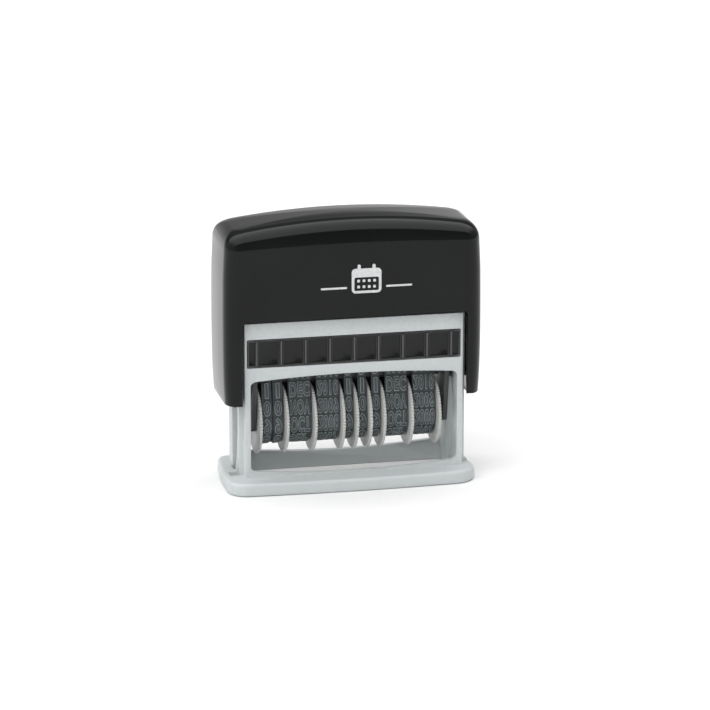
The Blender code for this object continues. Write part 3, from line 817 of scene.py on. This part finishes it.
def belt(width):
    """Points and faces of a bare band with a raised platform at each place."""
    profile = []
    for k in range(COUNT):
        middle = PLACES[k]
        before = middle - (PLACES[k - 1] - (0 if k else LOOP))
        after = PLACES[(k + 1) % COUNT] + (LOOP if k == COUNT - 1 else 0) - middle
        half = min(before, after) / 2 - PLATFORM_GAP
        top = [middle - half + 2 * half * j / PLATFORM_STEPS for j in range(PLATFORM_STEPS + 1)]
        profile += [(middle - half - PLATFORM_RAMP, BAND_T)]
        profile += [(s, BAND_T + PLATFORM_H) for s in top]
        profile += [(middle + half + PLATFORM_RAMP, BAND_T)]
    outer, inner = [], []
    for s, rise in profile:
        (y, z), (ny, nz) = on_path(s)
        outer.append((y + ny * rise, z + nz * rise))
        inner.append((y, z))
    near, far = 1 - CHAMFER_DEPTH, CHAMFER_DEPTH
    chamfer = [(o[0] * near + i[0] * far, o[1] * near + i[1] * far) for o, i in zip(outer, inner)]
    h = width / 2
    loops = (
        (-h + BAND_CHAMFER, outer), (h - BAND_CHAMFER, outer), (h, chamfer),
        (h, inner), (-h, inner), (-h, chamfer),
    )
    return stack([[(x, y, z) for y, z in loop] for x, loop in loops], wrap=True)


def band_mesh(kind, width):
    """A band about x = 0: points, faces, and each type face's material index, where the band's own is 0."""
    verts, faces = belt(width)
    looks = {}
    for place, text in zip(PLACES, characters(kind)):
        if not text:
            continue
        glyph_width = GLYPH_WIDTH[kind]
        if kind == "digit":
            glyph_width = min(glyph_width, width - DIGIT_MARGIN) * (NARROW_ONE if text == "1" else 1.0)
        bm = glyph_mesh(text, glyph_width, GLYPH_HEIGHT)
        start = len(verts)
        for v in bm.verts:
            (y, z), (ny, nz) = on_path(place + v.co.y)
            rise = BAND_T + TYPE_FOOT + v.co.z * (TYPE_H - TYPE_SHORT)
            verts.append((v.co.x, y + ny * rise, z + nz * rise))
        bm.verts.index_update()
        for f in bm.faces:
            faces.append(tuple(start + v.index for v in f.verts))
            heights = [v.co.z for v in f.verts]
            # Faces on a glyph's printing face take the lighter type rubber (painted light), the bevels next to
            # them take the painted highlight, and the glyph's sides keep the belt's rubber.
            looks[len(faces) - 1] = 1 if min(heights) > TOP_FROM else 2 if max(heights) > TOP_FROM else 0
        bm.free()
    return verts, faces, looks


def build_band(i, kind, cache):
    low, high = hub_span(i)
    if i == 0:
        low += GAP
    else:
        high -= GAP
    width = high - low
    key = (kind, round(width, 2))
    if key not in cache:
        cache[key] = band_mesh(kind, width)
    verts, faces, looks = cache[key]
    shift = (low + high) / 2
    moved = [(x + shift, y, z) for x, y, z in verts]
    band = new_object("date_band_%d" % (i + 1), moved, faces, angle=28.0, merge=False)
    dress(band, [RUBBER, TYPE_LIT_FACE, TYPE_PAINTED_HIGHLIGHT], "carriage", "band_rubber", "band_%d" % (i + 1))
    for face, look in looks.items():
        band.data.polygons[face].material_index = look


band_meshes = {}
for index, kind in enumerate(KINDS):
    build_wheel(index)
    build_band(index, kind, band_meshes)

# ----------------------------------------------------------------------------------------- springs

COIL_R, WIRE_R, COIL_TURNS, COIL_STEPS, WIRE_SIDES = 2.6, 0.45, 6, 40, 14
SPRING_CLEAR = 0.3
SEAT_Z, CEILING_Z = WELL_Z[0], 72.0  # the well's floor and the cap's ceiling


def build_spring(word, x):
    z0, z1 = SEAT_Z + SPRING_CLEAR + WIRE_R, CEILING_Z - SPRING_CLEAR - WIRE_R
    steps = COIL_TURNS * COIL_STEPS
    rings = []
    for i in range(steps + 1):
        turn = 2 * math.pi * COIL_TURNS * i / steps
        z = z0 + (z1 - z0) * i / steps
        ring = []
        for k in range(WIRE_SIDES):
            a = 2 * math.pi * k / WIRE_SIDES
            r = COIL_R + WIRE_R * math.cos(a)
            ring.append((x + r * math.cos(turn), r * math.sin(turn), z + WIRE_R * math.sin(a)))
        rings.append(ring)
    coil = new_object("return_spring_" + word, *stack(rings), angle=70.0)
    dress(coil, [STEEL], "base", "spring_steel", "spring_" + word)
    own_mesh(coil)


for word, x in (("left", -SPRING_X), ("right", SPRING_X)):
    build_spring(word, x)

# --------------------------------------------------------------------- carriage, kept from the CAD

for name in ("carriage_cheek_left", "carriage_cheek_right", "type_bridge"):
    paint(nodes[name], CARRIAGE_BLACK)
for name in ("wheel_axle", "axle_clip_left", "axle_clip_right", "axle_washer"):
    paint(nodes[name], STEEL)

# ------------------------------------------------------------------------------- generic cap print

CAP_FRONT_Y = -13.4
INK_Y = (CAP_FRONT_Y - 0.06, CAP_FRONT_Y + 0.15)
THROUGH_INK_Y = (CAP_FRONT_Y - 0.5, CAP_FRONT_Y + 0.5)


def patch(x, z, width, height, corner, span=INK_Y, name="tool"):
    """A rounded patch of printed ink lying on the cap's front, about a centre."""
    outline = rectangle((x - width / 2, x + width / 2), (z - height / 2, z + height / 2))
    return prism(rounded(outline, corner, 5), span, "y", name)


def build_print():
    """A plain calendar: a leaf with a window, two binding rings and eight days, and a line at each side."""
    marks = patch(3.0, 58.9, 8.4, 7.0, 1.1, name="print_marks")
    cut(marks, patch(3.0, 58.0, 6.9, 3.8, 0.4, span=THROUGH_INK_Y))
    for ring in range(2):
        join(marks, patch(0.9 + 4.2 * ring, 62.6, 0.9, 1.9, 0.4))
    for row in range(2):
        for column in range(4):
            join(marks, patch(0.75 + 1.5 * column, 58.9 - 1.7 * row, 0.75, 0.75, 0.15))
    for x in (-6.2, 12.2):
        join(marks, patch(x, 57.1, 7.4, 0.55, 0.25))
    settle(marks)
    dress(marks, [PRINT], "cap", "cap_black")


build_print()

# ------------------------------------------------------------------------------------------- floor

FLOOR_HALF, FLOOR_Z = 20.0, -0.0001  # metres: wide enough that no reflection shows its edge

floor_mesh = bpy.data.meshes.new("floor")
floor_plan = rectangle((-FLOOR_HALF, FLOOR_HALF), (-FLOOR_HALF, FLOOR_HALF))
floor_mesh.from_pydata(at_height(floor_plan, FLOOR_Z), [], [(0, 1, 2, 3)])
floor = bpy.data.objects.new("floor", floor_mesh)
collection.objects.link(floor)
white = Nodes("floor_white")
mottle = white.ramp(white.noise(6.0, 2.0), (0.82, 0.82, 0.815), (0.84, 0.84, 0.84))
white.set(Base_Color=mottle, Roughness=0.9)
floor_mesh.materials.append(white.mat)

# ------------------------------------------------------------------------------------------- light

# A photo tent: white overhead, grey in front and at the sides, lighter low at the back, dark in between.
ARCH = (  # place from the horizon in front, 0, over the top, 0.5, to the horizon behind, 1; and brightness
    (0.0, 0.32), (0.2, 0.2), (0.31, 0.13), (0.335, 2.0), (0.71, 2.3),
    (0.75, 0.25), (0.86, 0.12), (0.97, 0.8), (1.0, 1.0),
)
ARCH_SCALE = 4.0  # a ramp holds up to 1, so it holds the brightness over this
WALL_FROM, WALL_FULL = 0.55, 0.9  # how far to the side the walls begin and are whole
WALL_LEFT, WALL_RIGHT = 0.65, 0.40
SUN_ENERGY, SUN_ANGLE, SUN_DIRECTION = 1.35, 70, (0.48, 0.66, -0.58)

world = bpy.data.worlds.new("studio")
scene.world = world
world.use_nodes = True
sky = world.node_tree
background = sky.nodes["Background"]


def sky_math(operation, a, b=None):
    node = sky.nodes.new("ShaderNodeMath")
    node.operation = operation
    for socket, value in enumerate((a, b)):
        if hasattr(value, "is_linked"):
            sky.links.new(value, node.inputs[socket])
        elif value is not None:
            node.inputs[socket].default_value = value
    return node.outputs[0]


split = sky.nodes.new("ShaderNodeSeparateXYZ")
sky.links.new(sky.nodes.new("ShaderNodeTexCoord").outputs["Generated"], split.inputs["Vector"])
east, north, up = (split.outputs[k] for k in "XYZ")
over = sky_math("DIVIDE", sky_math("ARCTAN2", up, sky_math("MULTIPLY", north, -1.0)), math.pi)
arch = colour_ramp(sky, over, [(at, (level / ARCH_SCALE,) * 3) for at, level in ARCH])
aside = map_range(sky, sky_math("ABSOLUTE", east), WALL_FROM, WALL_FULL, 0.0, 1.0, "SMOOTHSTEP")
walls = map_range(sky, east, -1.0, 1.0, WALL_LEFT, WALL_RIGHT)
tent = sky.nodes.new("ShaderNodeMix")
for socket, source in (("Factor", aside), ("A", sky_math("MULTIPLY", arch, ARCH_SCALE)), ("B", walls)):
    sky.links.new(source, tent.inputs[socket])
# What is seen past the object is plain white.
direct = sky.nodes.new("ShaderNodeLightPath").outputs["Is Camera Ray"]
seen = sky_math("MAXIMUM", tent.outputs["Result"], direct)
background.inputs["Color"].default_value = (1.0, 1.0, 1.0, 1.0)
sky.links.new(seen, background.inputs["Strength"])

sun = bpy.data.lights.new("key", "SUN")
sun.energy = SUN_ENERGY
sun.angle = math.radians(SUN_ANGLE)
lamp = bpy.data.objects.new("key", sun)
collection.objects.link(lamp)
lamp.rotation_euler = Vector(SUN_DIRECTION).to_track_quat("-Z", "Y").to_euler()
lamp.visible_glossy = False
scene.view_settings.view_transform = "Standard"

# ------------------------------------------------------------------------------------------ camera

AZIMUTH, ELEVATION = math.radians(-12.2), math.radians(15.1)
DISTANCE, AIM_Z = 1.1, 0.040  # metres
LENS, SENSOR, SHIFT = 199.1, 36.0, (0.0131, -0.0282)

view = bpy.data.cameras.new("camera")
view.lens = LENS
view.sensor_width = SENSOR
view.shift_x, view.shift_y = SHIFT
view.clip_start = 0.05
camera = bpy.data.objects.new("camera", view)
collection.objects.link(camera)
flat = math.cos(ELEVATION)
back = Vector((math.sin(AZIMUTH) * flat, -math.cos(AZIMUTH) * flat, math.sin(ELEVATION)))
camera.location = Vector((0.0, CENTRE_Y * MM, AIM_Z)) + back * DISTANCE
camera.rotation_euler = (-back).to_track_quat("-Z", "Y").to_euler()
scene.camera = camera
